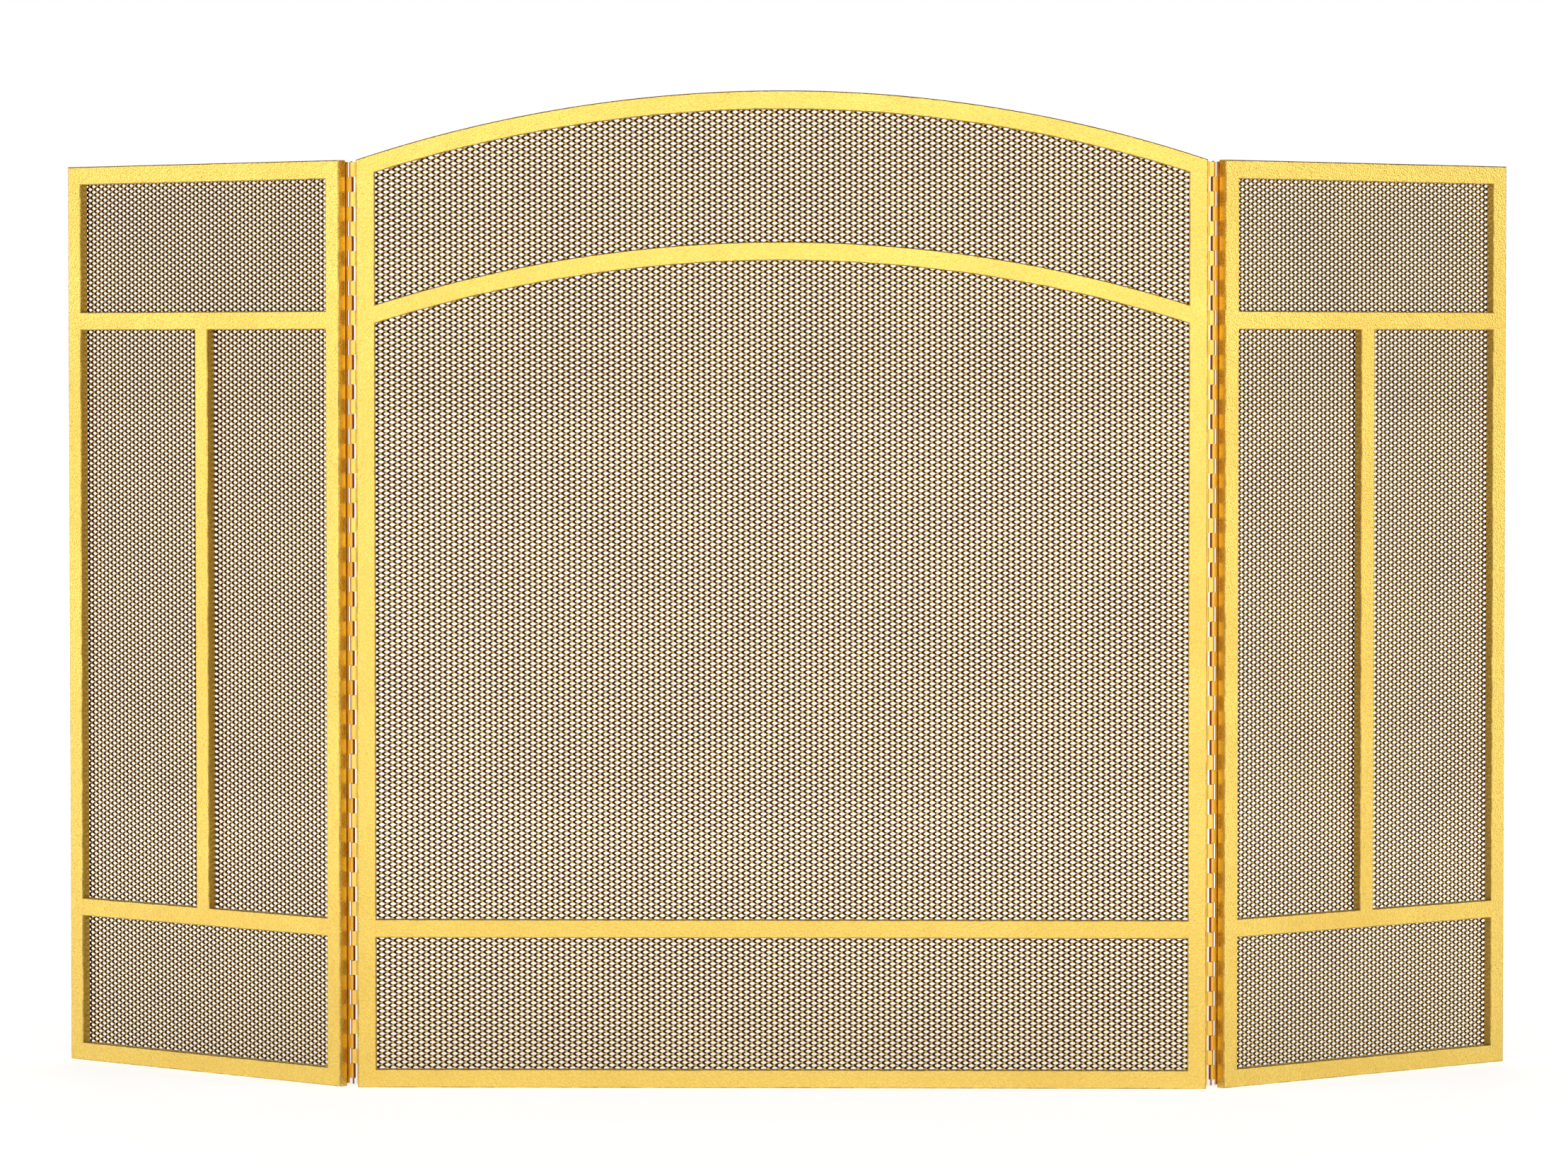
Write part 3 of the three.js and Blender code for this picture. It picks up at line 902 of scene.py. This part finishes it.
def makeSpotTree():
    tree, given, result = newTree("spotsAlongLines", "GeometryNodeTree", [
        ("Geometry", "NodeSocketGeometry", None), ("Spot", "NodeSocketObject", None),
        ("Across", "NodeSocketFloat", 0.004), ("Spacing", "NodeSocketFloat", 0.06),
        ("Size Spread", "NodeSocketFloat", 0.1), ("Seed", "NodeSocketInt", 1),
        ("Material", "NodeSocketMaterial", None)], [("Geometry", "NodeSocketGeometry")])
    lines = tree.nodes.new("GeometryNodeMeshToCurve")
    wire(tree, given["Geometry"], lines.inputs["Mesh"])
    evenly = tree.nodes.new("GeometryNodeResampleCurve")
    evenly.mode = "LENGTH"
    wire(tree, lines.outputs[0], evenly.inputs["Curve"])
    wire(tree, given["Spacing"], evenly.inputs["Length"])
    chance = tree.nodes.new("FunctionNodeRandomValue")
    chance.data_type = "FLOAT"
    chance.inputs[2].default_value = -1.0
    chance.inputs[3].default_value = 1.0
    wire(tree, given["Seed"], chance.inputs["Seed"])
    spread = mathNode(tree, "MULTIPLY_ADD", chance.outputs[1], given["Size Spread"], 1.0)
    size = mathNode(tree, "MULTIPLY", spread, given["Across"])
    return endTree(tree, scatterShape(tree, evenly.outputs[0], given["Spot"], size), given, result)


def lineMesh(name, lines, y):
    points, edges = [], []
    for line in lines:
        start = len(points)
        points += [(x * mm, y * mm, z * mm) for x, z in line]
        edges += [(start + i, start + i + 1) for i in range(len(line) - 1)]
    mesh = bpy.data.meshes.new(name)
    mesh.from_pydata(points, edges, [])
    return mesh


def makeSpots():
    tree = makeSpotTree()
    # 1 m across, as its size is set where it is placed; it faces the back
    dimple = [(0.5 * x, 0.5 * h * spots["lip"], 0) for x, h in spots["dimple"]]
    template = templateObject("weldSpot", latheMesh("weldSpot", dimple, (0, 1, 0), spots["steps"], 1e-5))
    still = Matrix.Identity(4)
    surface = {"sheet": sheet["frontY"] + sheet["relief"] + sheet["gauge"],
               "leaf": pinY - hinge["barrelRadius"] + hinge["leafThickness"]}
    finishes = {"sheet": (sheetGold, "mesh"), "leaf": (hingeGold, "hinge")}

    def bakeSpots(title, lines, kind, body, node, matrix):
        form = spots[kind]
        material, slotName = finishes[kind]
        source = lineMesh(title + "Lines", lines, surface[kind] - form["sink"])
        mesh = bakeTree(title, tree, {
            "Spot": template, "Across": form["across"] * mm, "Spacing": form["spacing"] * mm,
            "Size Spread": spots["sizeSpread"], "Seed": spots["seed"], "Material": material}, matrix, source)
        shadeByAngle(mesh, spots["crease"])
        newPiece(title, mesh, body, slotName, node)

    def upright(x, z0, z1):
        return [(x, z0), (x, z1)]

    face, lap, stileEnd = screen["barFace"], spots["lap"], spots["stileEnd"]
    top, band = screen["sideHeight"], screen["lowerRailFoot"]
    half = screen["halfOpening"] + lap
    reach = half - spots["railEnd"]
    archAt = [reach * (2 * i / spots["archSteps"] - 1) for i in range(spots["archSteps"] + 1)]
    rows = (face - lap, band + face / 2)  # on the outer and the inner rail, from the panel's edge
    lines = [upright(s * half, face + stileEnd, top - face - spots["archEnd"]) for s in (-1, 1)]
    lines += [[(-reach, z), (reach, z)] for z in rows]
    lines += [[(x, archZ(x) - drop) for x in archAt] for drop in rows]
    bakeSpots("centreSheetWelds", lines, "sheet", "centre_panel", "centre_mesh", still)
    leafEnds = (hinge["leafFoot"] + spots["leafEnd"], hinge["leafHead"] - spots["leafEnd"])
    for name, side in sides.items():
        matrix = wingMatrix(side)
        leafX = side * (screen["halfCentre"] - hinge["leafLand"] / 2)
        bakeSpots(f"{name}CentreLeafWelds", [upright(leafX, *leafEnds)], "leaf", "centre_panel",
                  f"{name}_hinge_centre_leaf", still)
        near, far = pinOffset + face - lap, pinOffset + screen["wingWidth"] - face + lap
        middle = pinOffset + screen["wingWidth"] / 2
        lines = [upright(side * d, face + stileEnd, top - face - stileEnd) for d in (near, far)]
        lines += [[(side * (near + spots["railEnd"]), z), (side * (far - spots["railEnd"]), z)]
                  for z in (rows[0], rows[1], top - rows[1], top - rows[0])]
        lines += [upright(side * middle, band + face + stileEnd, top - band - face - stileEnd)]
        bakeSpots(f"{name}WingSheetWelds", lines, "sheet", f"{name}_wing", f"{name}_wing_mesh", matrix)
        leafX = side * (pinOffset + hinge["leafLand"] / 2)
        bakeSpots(f"{name}WingLeafWelds", [upright(leafX, *leafEnds)], "leaf", f"{name}_wing",
                  f"{name}_hinge_wing_leaf", matrix)
    bpy.data.objects.remove(template)


makeSpots()
bpy.data.objects.remove(strandTemplate)
print("spot welds made")

# camera, floor and lights
studio = {
    "lens": 149.17, "cameraAt": (0.0962, -5.5603, 0.6346), "cameraTurn": 0.97, "cameraTilt": -2.075,
    "sensorWidth": 36, "clipEnd": 100,
    "floorTone": (0.86, 0.86, 0.85, 1), "floorShade": 0.985, "floorPatches": 1.2,
    "floorRoughness": 0.75, "floorSpecular": 0.1, "floorReach": 60,
    "glowNear": 0.69, "glowFar": 0.99, "glowRange": (0.6, 3.0),  # rises between these metres from the middle
    "worldTone": (0.14, 0.14, 0.14, 1), "backdropTone": (1.0, 1.0, 1.0, 1),
    "lights": {
        # place, aim, width, height, power, colour
        "frontBox": ((0.0, -3.6, 1.5), (0, 0, 0.55), 4.6, 3.0, 60, (1.0, 0.98, 0.95)),
        "leftBox": ((-3.4, -0.6, 0.9), (-0.4, 0, 0.45), 1.8, 2.4, 25, (1.0, 0.98, 0.95)),
        "rightBox": ((3.3, -1.0, 0.9), (0.4, 0, 0.45), 1.7, 2.4, 25, (1.0, 0.98, 0.95)),
        "backBox": ((0.0, 3.4, 1.6), (0, 0, 0.5), 3.0, 2.0, 20, (1.0, 0.98, 0.96)),
    },
}


def makeStage():
    material, tree, shader = newMaterial("paleFloor", 0.0, studio["floorRoughness"])
    shader.inputs["Specular IOR Level"].default_value = studio["floorSpecular"]
    tone = placeGroup(tree, "plating", {"Patch Scale": studio["floorPatches"]})
    pale = studio["floorTone"]
    shaded = tuple(v * studio["floorShade"] for v in pale[:3]) + (1,)
    wire(tree, mixColour(tree, tone["Patches"], pale, shaded), shader.inputs["Base Color"])
    # the floor glows a little more away from the lamps, so that it stays evenly pale
    place = tree.nodes.new("ShaderNodeTexCoord").outputs["Object"]
    distance = tree.nodes.new("ShaderNodeVectorMath")
    distance.operation = "LENGTH"
    wire(tree, place, distance.inputs[0])
    far = rangeNode(tree, distance.outputs["Value"], *studio["glowRange"])
    near, away = studio["glowNear"], studio["glowFar"]
    glow = mixColour(tree, far, (near, near, near, 1), (away, away, away, 1))
    wire(tree, glow, shader.inputs["Emission Color"])
    shader.inputs["Emission Strength"].default_value = 1.0
    work = bmesh.new()
    bmesh.ops.create_grid(work, x_segments=8, y_segments=8, size=studio["floorReach"])
    mesh = bpy.data.meshes.new("paleFloor")
    work.to_mesh(mesh)
    work.free()
    mesh.materials.append(material)
    floor = bpy.data.objects.new("paleFloor", mesh)
    scene.collection.objects.link(floor)


def makeLights():
    for name, (place, aim, wide, high, power, colour) in studio["lights"].items():
        data = bpy.data.lights.new(name, "AREA")
        data.shape = "RECTANGLE"
        data.size, data.size_y = wide, high
        data.energy = power
        data.color = colour
        lamp = bpy.data.objects.new(name, data)
        lamp.location = place
        lamp.rotation_euler = (Vector(aim) - Vector(place)).to_track_quat("-Z", "Y").to_euler()
        lamp.visible_camera = False
        scene.collection.objects.link(lamp)
    world = bpy.data.worlds.new("studioAir")
    world.use_nodes = True
    air = world.node_tree
    dim = air.nodes["Background"]
    dim.inputs["Color"].default_value = studio["worldTone"]
    backdrop = air.nodes.new("ShaderNodeBackground")
    backdrop.inputs["Color"].default_value = studio["backdropTone"]
    # seen straight on the air is a white backdrop; what the metal mirrors is the dim room
    choose = air.nodes.new("ShaderNodeMixShader")
    wire(air, air.nodes.new("ShaderNodeLightPath").outputs["Is Camera Ray"], choose.inputs[0])
    wire(air, dim.outputs[0], choose.inputs[1])
    wire(air, backdrop.outputs[0], choose.inputs[2])
    wire(air, choose.outputs[0], air.nodes["World Output"].inputs["Surface"])
    scene.world = world


def makeCamera():
    data = bpy.data.cameras.new("viewCamera")
    data.sensor_width = studio["sensorWidth"]
    data.lens = studio["lens"]
    data.clip_end = studio["clipEnd"]
    camera = bpy.data.objects.new("viewCamera", data)
    camera.location = studio["cameraAt"]
    camera.rotation_euler = (math.radians(90 + studio["cameraTilt"]), 0, math.radians(studio["cameraTurn"]))
    scene.collection.objects.link(camera)
    scene.camera = camera


makeStage()
makeLights()
makeCamera()
scene.view_settings.view_transform = "Standard"
print("studio ready")

bpy.context.view_layer.update()
